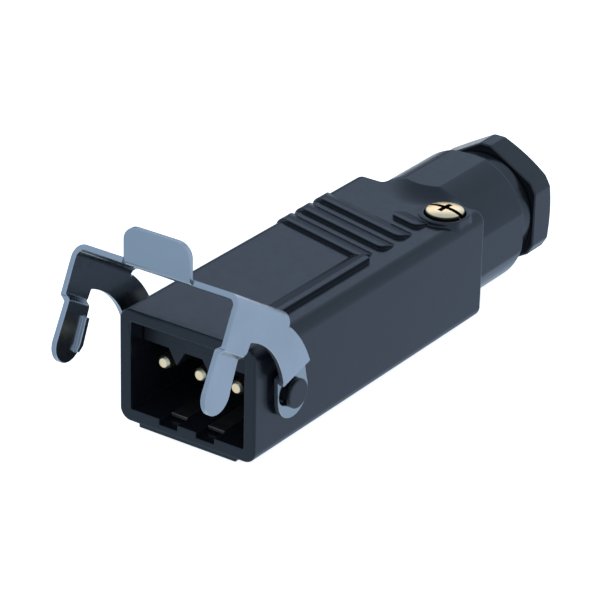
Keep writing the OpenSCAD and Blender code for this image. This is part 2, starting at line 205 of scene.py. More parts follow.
def merge_flats(v, q, n):
    """Joins the quads of each flat area, and of each straight strip of a curved
    one, into a few large faces, and drops the points left along straight edges."""
    big = len(v) + 1
    nq = len(q)
    qn = np.cross(v[q[:, 2]] - v[q[:, 0]], v[q[:, 3]] - v[q[:, 1]])
    qn /= np.maximum(np.linalg.norm(qn, axis=1), 1e-12)[:, None]
    warp = np.abs(((v[q[:, 3]] - v[q[:, 0]]) * qn).sum(1)) + np.abs(((v[q[:, 1]] - v[q[:, 0]]) * qn).sum(1))
    a, b = q.ravel(), np.roll(q, -1, 1).ravel()
    owner = np.repeat(np.arange(nq), 4)
    code = np.minimum(a, b) * big + np.maximum(a, b)
    order = np.argsort(code, kind="stable")
    sc = code[order]
    pair = np.flatnonzero(sc[1:] == sc[:-1])
    p, r = owner[order[pair]], owner[order[pair + 1]]
    same = (np.abs(qn[p] - qn[r]).max(1) < 4e-4) & (warp[p] < 4e-4) & (warp[r] < 4e-4)
    p, r = p[same], r[same]
    label = np.arange(nq)
    while True:
        low = label.copy()
        np.minimum.at(low, p, label[r])
        np.minimum.at(low, r, label[p])
        low = np.minimum(low, low[low])
        low = low[low]
        if (low == label).all():
            break
        label = low
    # points between two areas on a straight edge are not needed
    rim = label[owner[order[pair]]] != label[owner[order[pair + 1]]]
    ra, rb = a[order[pair]][rim], b[order[pair]][rim]
    deg = np.bincount(np.concatenate([ra, rb]), minlength=len(v))
    nb = np.zeros(len(v), np.int64)
    np.add.at(nb, ra, rb)
    np.add.at(nb, rb, ra)
    one = np.full(len(v), -1, np.int64)
    one[ra] = rb
    one[rb] = ra
    drop = deg == 2
    w = np.flatnonzero(drop)
    o, t = one[w], nb[w] - one[w]
    d1, d2 = v[w] - v[o], v[t] - v[w]
    l1, l2 = np.linalg.norm(d1, axis=1), np.linalg.norm(d2, axis=1)
    bend = np.linalg.norm(np.cross(d1, d2), axis=1) / np.maximum(l1 * l2, 1e-12)
    ahead = (d1 * d2).sum(1) > 0
    alike = (np.abs(n[w] - n[o]).max(1) < 2e-3) & (np.abs(n[w] - n[t]).max(1) < 2e-3)
    drop[w] = (bend < 4e-4) & ahead & alike & (l1 > 0) & (l2 > 0)
    faces = []
    plane = []
    order = np.argsort(label, kind="stable")
    names, first, size = np.unique(label[order], return_index=True, return_counts=True)
    for f0, m in zip(first, size):
        while len(plane) < len(faces):
            plane.append(level)
        idx = order[f0:f0 + m]
        f = q[idx]
        nn = qn[idx].mean(0)
        nn /= np.linalg.norm(nn)
        level = nn if m > 3 and (np.abs(n[np.unique(f)] - nn).max(1) < 3e-3).sum() > 3 else None
        if m == 1 and not drop[f[0]].any():
            faces.append(f[0].tolist())
            continue
        a, b = f.ravel(), np.roll(f, -1, 1).ravel()
        edge = ~np.isin(a * big + b, b * big + a) if m > 1 else np.ones(len(a), bool)
        a, b = a[edge].tolist(), b[edge].tolist()
        after = {}
        for i, j in zip(a, b):
            after.setdefault(i, []).append(j)
        loop = []
        for i, js in after.items():
            if drop[i]:
                continue
            for j in js:
                while drop[j]:
                    j = after[j][0]
                loop.append((i, j))
        ids = sorted(set(i for e in loop for i in e))
        if len(loop) == len(ids) and len(ids) <= 4:
            nxt = dict(loop)
            c = [loop[0][0]]
            while len(c) < len(ids):
                c.append(nxt[c[-1]])
            faces.append(c)
            continue
        at_id = {i: k for k, i in enumerate(ids)}
        e1 = np.cross(nn, np.eye(3)[np.argmin(np.abs(nn))])
        e1 /= np.linalg.norm(e1)
        e2 = np.cross(nn, e1)
        flat = np.stack([v[ids] @ e1, v[ids] @ e2], 1)
        walls = [(at_id[i], at_id[j]) for i, j in loop]
        out = delaunay_2d_cdt([Vector(c) for c in flat.tolist()], walls, [], 0, 1e-7)
        back = [o[0] if len(o) == 1 else -1 for o in out[3]]
        if -1 in back or len(out[0]) != len(ids):
            faces += [list(t) for t in f.tolist()]
            continue
        wall = set(walls)
        # left of a wall is inside, and each wall crossed changes sides
        tri = [[back[i] for i in t] for t in out[2]]
        touch = {}
        state = [None] * len(tri)
        queue = []
        for k, t in enumerate(tri):
            c = flat[t]
            area = (c[1, 0] - c[0, 0]) * (c[2, 1] - c[0, 1]) - (c[1, 1] - c[0, 1]) * (c[2, 0] - c[0, 0])
            if area < 0:
                t.reverse()
            for i, j in zip(t, t[1:] + t[:1]):
                touch.setdefault((min(i, j), max(i, j)), []).append(k)
                if abs(area) > 1e-4 and (i, j) in wall:
                    state[k] = True
                elif abs(area) > 1e-4 and (j, i) in wall:
                    state[k] = False
            if state[k] is not None:
                queue.append(k)
        while queue:
            k = queue.pop()
            t = tri[k]
            for i, j in zip(t, t[1:] + t[:1]):
                cross = (i, j) in wall or (j, i) in wall
                for o in touch[(min(i, j), max(i, j))]:
                    if state[o] is None:
                        state[o] = state[k] != cross
                        queue.append(o)
        for t, ok in zip(tri, state):
            if ok and any((j, i) in wall and (i, j) not in wall for i, j in zip(t, t[1:] + t[:1])):
                t.reverse()
        faces += [[ids[i] for i in t] for t, ok in zip(tri, state) if ok]
    while len(plane) < len(faces):
        plane.append(level)
    return faces, plane


def build(name, field, xs, ys, zs):
    """A closed mesh object from a field, with flat areas merged and true normals."""
    v, q = net(field, xs, ys, zs)
    n = slope(field, v)
    n /= np.maximum(np.linalg.norm(n, axis=1), 1e-9)[:, None]
    faces, plane = merge_flats(v, q.astype(np.int64), n)
    used = np.zeros(len(v), bool)
    used[np.concatenate([np.asarray(f) for f in faces])] = True
    new = np.cumsum(used) - 1
    me = bpy.data.meshes.new(name)
    me.from_pydata((v[used] * MM).tolist(), [], [[int(new[i]) for i in f] for f in faces])
    me.polygons.foreach_set("use_smooth", np.ones(len(me.polygons), bool))
    loops = [n[i] if p is None else p for f, p in zip(faces, plane) for i in f]
    me.normals_split_custom_set(np.array(loops).tolist())
    ob = bpy.data.objects.new(name, me)
    bpy.context.scene.collection.objects.link(ob)
    return ob


def stand_in(ob, body, slot, mat, *node_names):
    ob.data.materials.clear()
    ob.data.materials.append(mat)
    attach(ob, body)
    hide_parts(*node_names)


# ---------------------------------------------------------------- housing
SLANT = math.tan(math.radians(14))
TOP = 10.45
RIB = 11.15
RAIL = 11.32


def thread(r, y, a, r_out, depth):
    """Crest and root of a 1.5 mm thread about Y, as a field of the rod."""
    p = (y / 1.5 - a / (2 * math.pi)) % 1.0
    w = np.abs(p - 0.5) * 2
    return (r - (r_out - depth * smooth((w - 0.1) / 0.8))) * 0.82


def f_housing(x, y, z):
    body = rect(x, z, 14.0, TOP, 2.2)
    body = both(body, -y, 0.4)
    body = both(body, y - 69.7, 0.8)
    r = np.sqrt(x * x + z * z)
    cone = (r - 9.4) * 0.8735 - (y - 63.9) * 0.4869
    neck = both(r - 12.8, cone, 0.25)
    neck = both(neck, y - 86.2, 0.6)
    neck = both(neck, np.abs(x) - 12.2, 0.04)
    neck = both(neck, np.maximum(z - 12.3, -11.15 - z), 0.04)
    fil = 0.3 + 0.9 * smooth((z - 8.0) / 2.0)
    d = join(body, neck, fil)
    # grip ribs and the rail: a steep wall, a short flat and a long rounded fall behind it
    over = rect(x - 5.0, z + 5.0, 19.1, 5 + RIB, 2.75)
    ribs = None
    for y0, x0, x1 in ((41.17, -20.0, 7.3), (46.77, -20.0, 8.35), (52.37, -20.0, 8.35), (57.9, 1.5, 8.2)):
        t = y - y0 + x * SLANT
        c, e = math.cos(math.radians(14)), math.sin(math.radians(14))
        px, py = x * c - (y - y0) * e, t * c
        mid, hw = ((x0 + x1) / 2) / c, ((x1 - x0) / 2) / c
        plan = rect(px - mid, py - 1.9, hw, 1.9, 1.35)
        wall = plan - 0.06 * (RIB - z)
        s = np.clip(t - 0.85, 0, 3)
        fall = z - RIB + 0.14 * s + 0.039 * s * s
        rib = both(both(wall, over, 0.1), fall * 0.9, 0.1)
        ribs = rib if ribs is None else np.minimum(ribs, rib)
    plan = rect(x - 7.33, y - 25.0, 1.9, 18.0, 0.9)
    wall = plan - 0.06 * (RAIL - z)
    s = np.clip(8.05 - x, 0, 3)
    fall = z - RAIL + 0.18 * s + 0.06 * s * s
    rail = both(both(wall, fall * 0.9, 0.1), (y - 41.17 + x * SLANT - 1.4) * 0.97, 0.7)
    ribs = np.minimum(ribs, rail)
    d = np.minimum(d, both(ribs, 7.0 - z, 0.4))
    # boss of the retaining screw
    rs = np.sqrt((x - 9.4) ** 2 + (y - 63.3) ** 2)
    d = join(d, both(both(both(rs - 4.7, x - 13.6, 0.3), z - 11.3, 0.3), 7.0 - z, 0.1), 0.25)
    # collar and threaded spigot
    spig = np.maximum(both(r - 10.8, y - 91.1, 0.15), 86.1 - y)
    d = np.minimum(d, spig)
    ang = np.arctan2(x, z)
    th = np.where(y < 91.1, r - 8.45, thread(r, y, ang, 9.24, 0.6))
    th = both(th, (r - 9.24) * 0.7071 + (y - 95.5) * 0.7071, 0.1)
    th = np.maximum(np.maximum(th, y - 96.0), 84 - y)
    d = np.minimum(d, th)
    # pad under the housing
    d = np.minimum(d, block(x, y, z, (-10.1, 0.15, -11.15), (10.1, 66.0, -9.0), 0.3))
    # pivots of the clip
    rp = np.sqrt((y - 8.5) ** 2 + (z - 0.3) ** 2)
    ax = np.abs(x)
    stud = np.maximum(rp - 2.05, slab(ax, 12.5, 16.4))
    head = both(rp - 2.6, slab(ax, 15.8, 16.75), 0.22)
    d = np.minimum(join(d, stud, 0.12), head)
    # mating chamber with the two earth grooves
    cav = np.maximum(rect(x, z, 11.7, 8.07, 0.25), y - 66)
    gro = np.maximum(np.maximum(slab(ax, 1.95, 5.7), slab(z, -9.15, -6.5)), y - 47)
    cav = join(cav, gro, 0.12)
    cav = np.minimum(cav, block(x, y, z, (-5.7, 41.5, -9.15), (5.7, 52, -6.5), 0.05))
    d = less(d, cav, 0.2 + 0.35 * smooth((z - 5) / 2) * smooth((4 - y) / 3))
    # screw hole, cable passage and seal pocket
    d = less(d, np.maximum(rs - 3.75, 9.9 - z), 0.18)
    d = np.maximum(d, -np.maximum(rs - 1.7, -z))
    d = np.maximum(d, -np.maximum(r - 7.0, slab(y, 65, 86)))
    d = less(d, np.maximum(r - 7.6, 85 - y), 0.2)
    return d


hx = mirrored((0, 1.6, 0.32), (1.6, 2.3, 0.1), (2.3, 5.4, 0.31), (5.4, 6.0, 0.1), (6.0, 9.6, 0.24), (9.6, 10.5, 0.15), (10.5, 11.3, 0.2),
              (11.3, 14.1, 0.14), (14.1, 15.7, 0.2), (15.7, 16.9, 0.12))
hy = lines((-0.2, 1.0, 0.09), (1.0, 5.6, 0.66), (5.6, 11.4, 0.16), (11.4, 36, 1.0), (36, 38.4, 0.3), (38.4, 61.6, 0.14), (61.6, 71, 0.16),
           (71, 84.6, 0.6), (84.6, 87.2, 0.1), (87.2, 89.2, 0.25), (89.2, 96.2, 0.1))
hz = lines((-12.2, -11.3, 0.15), (-11.3, -10.3, 0.09), (-10.3, -7.9, 0.14), (-7.9, -2.5, 0.4), (-2.5, 3.1, 0.16), (3.1, 7.7, 0.38), (7.7, 10.3, 0.14), (10.3, 11.45, 0.08), (11.45, 12.5, 0.12))


# ---------------------------------------------------------------- insert and contacts
def f_insert(x, y, z):
    d = block(x, y, z, (-11.55, 3.5, 3.6), (11.55, 49.2, 7.92), 0.16)
    d = join(d, block(x, y, z, (-11.55, 20.0, -7.92), (11.55, 49.2, 7.9), 0.16), 0.15)
    for t in (((-6.4, 3.6), (-4.7, 0.75), (-3.0, 3.6)), ((0.6, 3.6), (2.5, 0.75), (4.4, 3.6))):
        tri = poly(x, z, [t[0], t[1], t[2], (t[2][0], 5.0), (t[0][0], 5.0)])
        d = join(d, both(tri, slab(y, 3.5, 20.5), 0.12), 0.1)
    d = np.minimum(d, block(x, y, z, (7.0, 48.2, 3.4), (11.55, 65.8, 7.92), 0.2))
    for i in (-1, 0, 1):
        rp = np.sqrt((x - 7.55 * i) ** 2 + (z - 0.45) ** 2)
        d = less(d, np.maximum(rp - 1.7, slab(y, 19, 30)), 0.1)
        d = less(d, np.maximum(rp - 2.55, 22 - y), 0.15)
        d = less(d, np.maximum(np.sqrt((x - 7.55 * i) ** 2 + (y - 41) ** 2) - 2.5, 0.45 - z), 0.15)
    d = np.maximum(d, -np.maximum(np.sqrt(x * x + (z + 4.4) ** 2) - 1.55, 39.5 - y))
    d = np.maximum(d, -np.maximum(np.sqrt((x - 9.4) ** 2 + (y - 63.3) ** 2) - 1.48, 3 - z))
    return d


def f_pin(x, y, z):
    """Centre contact; the outer two are shifted copies."""
    z = z - 0.45
    r = np.sqrt(x * x + z * z)
    tip = both(both(r - 1.25, (r - 0.85) * 0.809 - (y - 3.46) * 0.588, 0.1), 3.46 - y, 0.08)
    d = np.maximum(tip, y - 21)
    d = np.minimum(d, both(r - 1.65, slab(y, 19.9, 22.6), 0.08))
    d = np.minimum(d, both(r - 2.0, slab(y, 22.2, 24), 0.05))
    d = np.minimum(d, both(both(r - 2.5, slab(y, 22.9, 47), 0.25), (r - 2.0) * 0.7071 - (y - 22.9) * 0.7071, 0.1))
    d = less(d, np.maximum(r - 1.5, 35.5 - y), 0.12)
    d = less(d, np.maximum(np.sqrt(x * x + (y - 41) ** 2) - 1.5, -z), 0.1)
    return d


def f_earth(x, y, z):
    ax = np.abs(x)
    t0, t1 = -8.75, -8.05
    d = block(ax, y, z, (2.1, 3.2, t0), (5.55, 49.2, t1), 0.12)
    d = np.minimum(d, block(x, y, z, (-5.55, 42.0, t0), (5.55, 49.95, t1), 0.12))
    d = join(d, block(x, y, z, (-3.4, 49.3, t0), (3.4, 49.9, -1.2), 0.12), 0.1)
    return less(d, np.maximum(np.sqrt(x * x + (z + 4.4) ** 2) - 1.6, slab(y, 48, 52)), 0.08)


# ---------------------------------------------------------------- retaining screw
def f_screw(x, y, z):
    """About its own axis; turned with the slot."""
    c, s = math.cos(math.radians(-4)), math.sin(math.radians(-4))
    dx, dy = x - 9.4, y - 63.3
    x, y = c * dx + s * dy, -s * dx + c * dy
    r = np.sqrt(x * x + y * y)
    dome = (z - (12.35 - 0.55 * (np.minimum(r, 3.6) / 3.5) ** 2.6)) * 0.93
    d = both(both(r - 3.5, dome, 0.22), 9.9 - z, 0.1)
    d = less(d, np.maximum(np.maximum(np.abs(y) - 0.42, 10.9 - z), np.abs(x) - 5), 0.05)
    cross = np.minimum(np.maximum(np.abs(y) - 0.421, np.abs(x) - 1.7), np.maximum(np.abs(x) - 0.45, np.abs(y) - 1.7))
    d = less(d, np.maximum(cross, 10.6 - z), 0.05)
    a = np.arctan2(y, x)
    p = (z / 0.7 - a / (2 * math.pi)) % 1.0
    shank = (r - (1.45 - 0.22 * smooth((np.abs(p - 0.5) * 2 - 0.1) / 0.8))) * 0.85
    shank = np.maximum(np.maximum(shank, z - 10.2), (r - 1.1) * 0.7071 + (3.8 - z) * 0.7071)
    return np.minimum(d, np.maximum(shank, 3.8 - z))


# ---------------------------------------------------------------- gland nut
def f_nut(x, y, z):
    h = math.sqrt(3) / 2
    hexa = np.maximum(np.abs(x), np.maximum(np.abs(0.5 * x + h * z), np.abs(0.5 * x - h * z))) - 11.33
    trunc = np.maximum(np.abs(z), np.maximum(np.abs(h * x + 0.5 * z), np.abs(h * x - 0.5 * z))) - 12.44
    r = np.sqrt(x * x + z * z)
    d = both(hexa, trunc, 0.12)
    d = both(d, (r - 13.4) * 0.447 + (y - 96.3) * 0.894, 0.2)
    d = both(d, y - 98.4, 0.3)
    d = both(d, 91.4 - y, 0.35)
    ang = np.arctan2(x, z)
    p = (y / 1.5 - ang / (2 * math.pi)) % 1.0
    bore = (r - (9.30 + 0.45 * smooth((np.abs(p - 0.5) * 2 - 0.2) / 0.7))) * 0.85
    bore = np.maximum(np.minimum(bore, (r - 10.05) * 0.7071 + (y - 91.4) * 0.7071), y - 96.5)
    d = less(d, bore, 0.1)
    return less(d, np.maximum(r - 5.6, 95 - y), 0.5)


# ---------------------------------------------------------------- locking clip
TILT = math.radians(31.6)
UC, US = math.cos(TILT), math.sin(TILT)
EAR = math.radians(-14.7)


def uv_of(y, z):
    return (y + 7.8) * UC - (z - 24.5) * US, -(y + 7.8) * US - (z - 24.5) * UC


def step_in(ax, w):
    """Sheet of 1 mm that steps inwards as w passes zero."""
    up = np.sqrt((ax - 16.2) ** 2 + np.maximum(w + 0.2, 0) ** 2)
    down = np.sqrt((ax - 15.15) ** 2 + np.maximum(0.556 - w, 0) ** 2)
    t = np.clip(((ax - 16.2) * -1.05 + (w + 0.2) * 0.756) / (1.05 ** 2 + 0.756 ** 2), 0, 1)
    over = np.sqrt((ax - 16.2 + 1.05 * t) ** 2 + (w + 0.2 - 0.756 * t) ** 2)
    return np.minimum(np.minimum(up, down), over) - 0.5


def ear_step(ax, w):
    """Sheet of 1 mm whose part past the line w = 0 lies 1.05 mm further in."""
    outer = np.maximum(np.abs(ax - 16.2) - 0.5, w - 0.25)
    inner = np.maximum(np.abs(ax - 15.15) - 0.5, -0.7 - w)
    web = np.maximum(slab(ax, 14.9, 16.4), slab(w, -0.7, 0.1))
    return np.minimum(np.minimum(outer, inner), web)


def f_clip(x, y, z):
    u, v = uv_of(y, z)
    ax = np.abs(x)
    # outline of the bent sheet, in the strap's own directions
    o = np.maximum(slab(u, 0, 17.0), v - 3.0)
    we = -(y - 4.4) * math.sin(EAR) * 1.0 - (z - 3.55) * math.cos(EAR)
    ee = (y - 4.4) * math.cos(EAR) - (z - 3.55) * math.sin(EAR)
    arm = np.maximum(np.sqrt((y + 9.05) ** 2 + (z + 3.0) ** 2) - 22.34, we - 0.25)
    arm = np.maximum(arm, 15.08 - np.sqrt((y + 10.5) ** 2 + (z - 0.95) ** 2))
    arm = np.maximum(arm, poly(u, v, [(3, 2.4), (16.6, 2.6), (18.5, 1.7), (27, 1.7), (27, 26), (3, 26)]))
    o = join(o, arm, 0.15)
    lean = 0.5 / 4.8
    plate = both(np.maximum(-u + np.clip((v - 3.6) * lean, 0, 0.5), 2 - v), both(u - 7.25, v - 8.95, 0.85), 0.05)
    o = join(o, plate, 0.15)
    ton = np.minimum(np.sqrt((u - 4.5) ** 2 + (v - 16.15) ** 2) - 3.45,
                     poly(u, v, [(0.55, 8.4), (6.7, 8.4), (7.92, 16.15), (1.06, 16.15)]))
    o = np.minimum(o, ton)
    ear = np.sqrt((y - 8.5) ** 2 + (z + 0.1) ** 2) - 4.17
    ear = np.minimum(ear, np.maximum(poly(y, z, [(4.33, -0.2), (4.2, 4.0), (11.42, 6.0), (12.7, -0.2)]), np.maximum(-0.4 - we, slab(ee, -2, 9.5))))
    eye = np.minimum(np.sqrt((y - 8.5) ** 2 + (z - 0.3) ** 2) - 2.1, capsule(y, z, (6.45, 0.88), (8.5, 0.3), 1.95))
    ear = np.maximum(ear, -eye)
    o = np.minimum(o, ear)
    notch = np.maximum(np.maximum(slab(x, -6.9, 7.4), u - 1.4), v - 2.0)
    o = np.maximum(o, -notch)
    # mid-surface of the sheet: strap, two bends, cheeks and the inward steps
    side = np.where((u < 8.6) & (z > 0.5), step_in(ax, v - 9.0), np.where(y > -1, ear_step(ax, we), np.abs(ax - 16.2) - 0.5))
    bend = np.abs(np.sqrt((ax - 14.5) ** 2 + (v - 2.2) ** 2) - 1.7) - 0.5
    sheet = np.where(v > 2.2, side, np.where(ax > 14.5, bend, np.abs(v - 0.5) - 0.5))
    sheet = np.where((v > 2.2) & (ax < 12), np.abs(v - 0.5) - 0.5, sheet)
    d = both(sheet, o, 0.16)
    # lip along the rear edge of each tongue
    lip = poly(u, v, [(5.9, 11.2), (6.95, 11.2), (7.75, 15.9), (7.2, 17.2), (6.3, 17.2), (6.6, 15.9)])
    d = np.minimum(d, both(lip, slab(ax, 13.95, 15.1), 0.15))
    # thumb tab, bent up from the strap
    bend_end = math.pi / 2 - TILT
    qv, qu = v + 0.6, u - 1.4
    ang = np.arctan2(-qu, qv)
    ring = np.abs(np.sqrt(qu * qu + qv * qv) - 1.1) - 0.5
    rise = -qv * math.sin(bend_end) - qu * math.cos(bend_end)
    off = qv * math.cos(bend_end) - qu * math.sin(bend_end)
    prof = np.where(rise > 0, np.abs(off - 1.1) - 0.5, np.where(qu > 0, np.abs(qv - 1.1) - 0.5, ring))
    ends = np.maximum(rise - 5.95, qu - 1.5)
    cx = np.abs(x + 0.2) - 6.7
    qx, qz = cx + 2.6, rise - (5.95 - 2.6)
    corner = np.minimum(np.maximum(qx, qz), 0) + np.sqrt(np.maximum(qx, 0) ** 2 + np.maximum(qz, 0) ** 2) - 2.6
    tab = both(np.maximum(prof, qu - 1.5), np.maximum(corner, ends), 0.16)
    return np.minimum(d, tab)


cx_lines = mirrored((0, 6.2, 0.5), (6.2, 7.7, 0.12), (7.7, 13.8, 0.5), (13.8, 16.85, 0.13))
cy_lines = lines((-17.8, -8.2, 0.2), (-8.2, -5.0, 0.14), (-5.0, 3.8, 0.2), (3.8, 5.0, 0.1), (5.0, 14.8, 0.2))
cz_lines = lines((-4.6, 6.4, 0.18), (6.4, 16, 0.22), (16, 32.2, 0.18))


# ---------------------------------------------------------------- materials
def nodes_of(mat):
    mat.use_nodes = True
    t = mat.node_tree
    t.nodes.clear()
    out = t.nodes.new("ShaderNodeOutputMaterial")
    b = t.nodes.new("ShaderNodeBsdfPrincipled")
    t.links.new(b.outputs[0], out.inputs[0])
    return t, b


def noise(t, vec, scale, detail=3.0, rough=0.5):
    n = t.nodes.new("ShaderNodeTexNoise")
    n.inputs["Scale"].default_value = scale
    n.inputs["Detail"].default_value = detail
    n.inputs["Roughness"].default_value = rough
    t.links.new(vec, n.inputs["Vector"])
    return n.outputs["Fac"]


def ramp(t, fac, a, b, lo=0.3, hi=0.7):
    r = t.nodes.new("ShaderNodeValToRGB")
    r.color_ramp.elements[0].position = lo
    r.color_ramp.elements[0].color = (*a, 1) if not np.isscalar(a) else (a, a, a, 1)
    r.color_ramp.elements[1].position = hi
    r.color_ramp.elements[1].color = (*b, 1) if not np.isscalar(b) else (b, b, b, 1)
    t.links.new(fac, r.inputs["Fac"])
    return r.outputs["Color"]


def bump(t, b, height, strength, distance):
    n = t.nodes.new("ShaderNodeBump")
    n.inputs["Strength"].default_value = strength
    n.inputs["Distance"].default_value = distance
    t.links.new(height, n.inputs["Height"])
    t.links.new(n.outputs["Normal"], b.inputs["Normal"])


def coords(t, stretch=(1, 1, 1)):
    c = t.nodes.new("ShaderNodeTexCoord")
    m = t.nodes.new("ShaderNodeMapping")
    m.inputs["Scale"].default_value = stretch
    t.links.new(c.outputs["Object"], m.inputs["Vector"])
    return m.outputs["Vector"]


def plastic(name, dark, light, r0, r1, grain=0.12):
    """Moulded plastic: faint clouding, uneven gloss and a fine eroded grain."""
    mat = bpy.data.materials.new(name)
    t, b = nodes_of(mat)
    v = coords(t)
    t.links.new(ramp(t, noise(t, v, 180, 4, 0.6), dark, light), b.inputs["Base Color"])
    t.links.new(ramp(t, noise(t, v, 650, 3), r0, r1), b.inputs["Roughness"])
    bump(t, b, noise(t, v, 5200, 2, 0.6), grain, 0.00004)
    b.inputs["Specular IOR Level"].default_value = 0.5
    return mat


def metal(name, dark, light, r0, r1, stretch, grain, aniso=0.0):
    """Rolled or turned metal: directional grain in colour, gloss and relief."""
    mat = bpy.data.materials.new(name)
    t, b = nodes_of(mat)
    v = coords(t, stretch)
    fine = noise(t, v, 900, 3, 0.6)
    t.links.new(ramp(t, noise(t, v, 120, 3), dark, light), b.inputs["Base Color"])
    t.links.new(ramp(t, fine, r0, r1), b.inputs["Roughness"])
    bump(t, b, fine, grain, 0.00003)
    b.inputs["Metallic"].default_value = 1.0
    if aniso:
        b.inputs["Anisotropic"].default_value = aniso
    return mat


m_shell = plastic("shell_plastic", (0.007, 0.008, 0.01), (0.01, 0.011, 0.014), 0.2, 0.26)
m_insert = plastic("insert_plastic", (0.007, 0.008, 0.009), (0.01, 0.011, 0.013), 0.38, 0.48)
m_nut = plastic("nut_plastic", (0.007, 0.008, 0.009), (0.01, 0.011, 0.013), 0.2, 0.26)
m_rubber = plastic("seal_rubber", (0.012, 0.012, 0.013), (0.02, 0.02, 0.021), 0.62, 0.78, 0.3)
m_contact = metal("contact_metal", (0.86, 0.7, 0.44), (0.93, 0.79, 0.53), 0.26, 0.34, (1, 6, 1), 0.04)
m_screw = metal("screw_metal", (0.88, 0.7, 0.42), (0.95, 0.8, 0.53), 0.26, 0.34, (1, 1, 1), 0.04)
# painted shade: faces of the screw whose normal turns away from up (the head's side and the walls of the slot and
# cross) are painted near-black brown, and only the upward faces keep the gold
t = m_screw.node_tree
b = next(n for n in t.nodes if n.type == "BSDF_PRINCIPLED")
gold = b.inputs["Base Color"].links[0].from_socket
face = t.nodes.new("ShaderNodeNewGeometry")
part = t.nodes.new("ShaderNodeSeparateXYZ")
t.links.new(face.outputs["Normal"], part.inputs[0])
mix = t.nodes.new("ShaderNodeMix")
mix.data_type = "RGBA"
t.links.new(ramp(t, part.outputs["Z"], 0.0, 1.0, 0.55, 0.85), mix.inputs[0])
mix.inputs[6].default_value = (0.07, 0.045, 0.025, 1)
t.links.new(gold, mix.inputs[7])
t.links.new(mix.outputs[2], b.inputs["Base Color"])
# partly painted shade: the earth metal keeps its own brownish tone but is darkened to stand for the shade it lies in
# inside the mating chamber
m_earth = metal("earth_metal", (0.15, 0.13, 0.12), (0.2, 0.175, 0.16), 0.42, 0.52, (1, 1, 1), 0.03)
m_clip = metal("clip_metal", (0.445, 0.47, 0.485), (0.49, 0.515, 0.535), 0.2, 0.26, (0.15, 1, 1), 0.02)
# painted shade: the ears, set in behind the arms, are painted a darker grey than the arms
t = m_clip.node_tree
b = next(n for n in t.nodes if n.type == "BSDF_PRINCIPLED")
sheet = b.inputs["Base Color"].links[0].from_socket
where = t.nodes.new("ShaderNodeTexCoord")
part = t.nodes.new("ShaderNodeSeparateXYZ")
t.links.new(where.outputs["Object"], part.inputs[0])
wide = t.nodes.new("ShaderNodeMath")
wide.operation = "ABSOLUTE"
t.links.new(part.outputs["X"], wide.inputs[0])
inner = t.nodes.new("ShaderNodeMath")
inner.operation = "LESS_THAN"
t.links.new(wide.outputs[0], inner.inputs[0])
inner.inputs[1].default_value = 0.0157
rear = t.nodes.new("ShaderNodeMath")
rear.operation = "GREATER_THAN"
t.links.new(part.outputs["Y"], rear.inputs[0])
rear.inputs[1].default_value = 0.002
ear_shade_mask = t.nodes.new("ShaderNodeMath")
ear_shade_mask.operation = "MULTIPLY"
t.links.new(inner.outputs[0], ear_shade_mask.inputs[0])
t.links.new(rear.outputs[0], ear_shade_mask.inputs[1])
# painted shade mixed in where the ear mask is set
mix = t.nodes.new("ShaderNodeMix")
mix.data_type = "RGBA"
t.links.new(ear_shade_mask.outputs[0], mix.inputs[0])
t.links.new(sheet, mix.inputs[6])
mix.inputs[7].default_value = (0.40, 0.43, 0.44, 1)
t.links.new(mix.outputs[2], b.inputs["Base Color"])

# ---------------------------------------------------------------- pieces
shell = build("shell", f_housing, hx, hy, hz)
stand_in(shell, "plug_body", "shell_plastic", m_shell, "housing")

ins = build("insert_block", f_insert,
            lines((-11.7, -10.9, 0.12), (-10.9, -7, 0.35), (-7, 5, 0.16), (5, 11, 0.25), (11, 11.7, 0.12)),
            lines((3.3, 4.0, 0.09), (4.0, 18.6, 0.9), (18.6, 25, 0.2), (25, 37.5, 0.8), (37.5, 50, 0.2), (50, 60.8, 0.8), (60.8, 66, 0.2)),
            lines((-8.05, -7.4, 0.1), (-7.4, -6.2, 0.3), (-6.2, 4.6, 0.16), (4.6, 7.4, 0.3), (7.4, 8.05, 0.1)))
stand_in(ins, "plug_body", "insert_plastic", m_insert, "contact_insert")

pin_grid = (mirrored((0, 2.6, 0.11)), lines((3.3, 4.4, 0.08), (4.4, 19.4, 0.75), (19.4, 24, 0.1), (24, 35, 0.75), (35, 47.1, 0.16)), lines((-2.2, 3.1, 0.11)))
pin = build("pin_c", f_pin, *pin_grid)
stand_in(pin, "plug_body", "contact_metal", m_contact, "contact_pin_centre")
for tag, off, node in (("pin_l", -7.55, "contact_pin_left"), ("pin_r", 7.55, "contact_pin_right")):
    me = pin.data.copy()
    me.transform(Matrix.Translation((off * MM, 0, 0)))
    ob = bpy.data.objects.new(tag, me)
    bpy.context.scene.collection.objects.link(ob)
    stand_in(ob, "plug_body", "contact_metal", m_contact, node)

earth = build("earth_sheet", f_earth, mirrored((0, 1.9, 0.3), (1.9, 2.4, 0.06), (2.4, 3.2, 0.16), (3.2, 3.6, 0.07), (3.6, 5.3, 0.2), (5.3, 5.7, 0.06)),
              lines((3.0, 3.6, 0.07), (3.6, 41.7, 1.0), (41.7, 42.3, 0.1), (42.3, 48.8, 0.5), (48.8, 50.2, 0.07)),
              lines((-8.8, -7.9, 0.07), (-7.9, -1.5, 0.2), (-1.5, -1.0, 0.07)))
stand_in(earth, "plug_body", "earth_metal", m_earth, "earth_contact")

screw = build("cover_screw", f_screw, lines((5.7, 13.1, 0.085)), lines((59.6, 67.0, 0.085)), lines((3.6, 9.7, 0.1), (9.7, 12.5, 0.07)))
stand_in(screw, "plug_body", "screw_metal", m_screw, "retaining_screw")

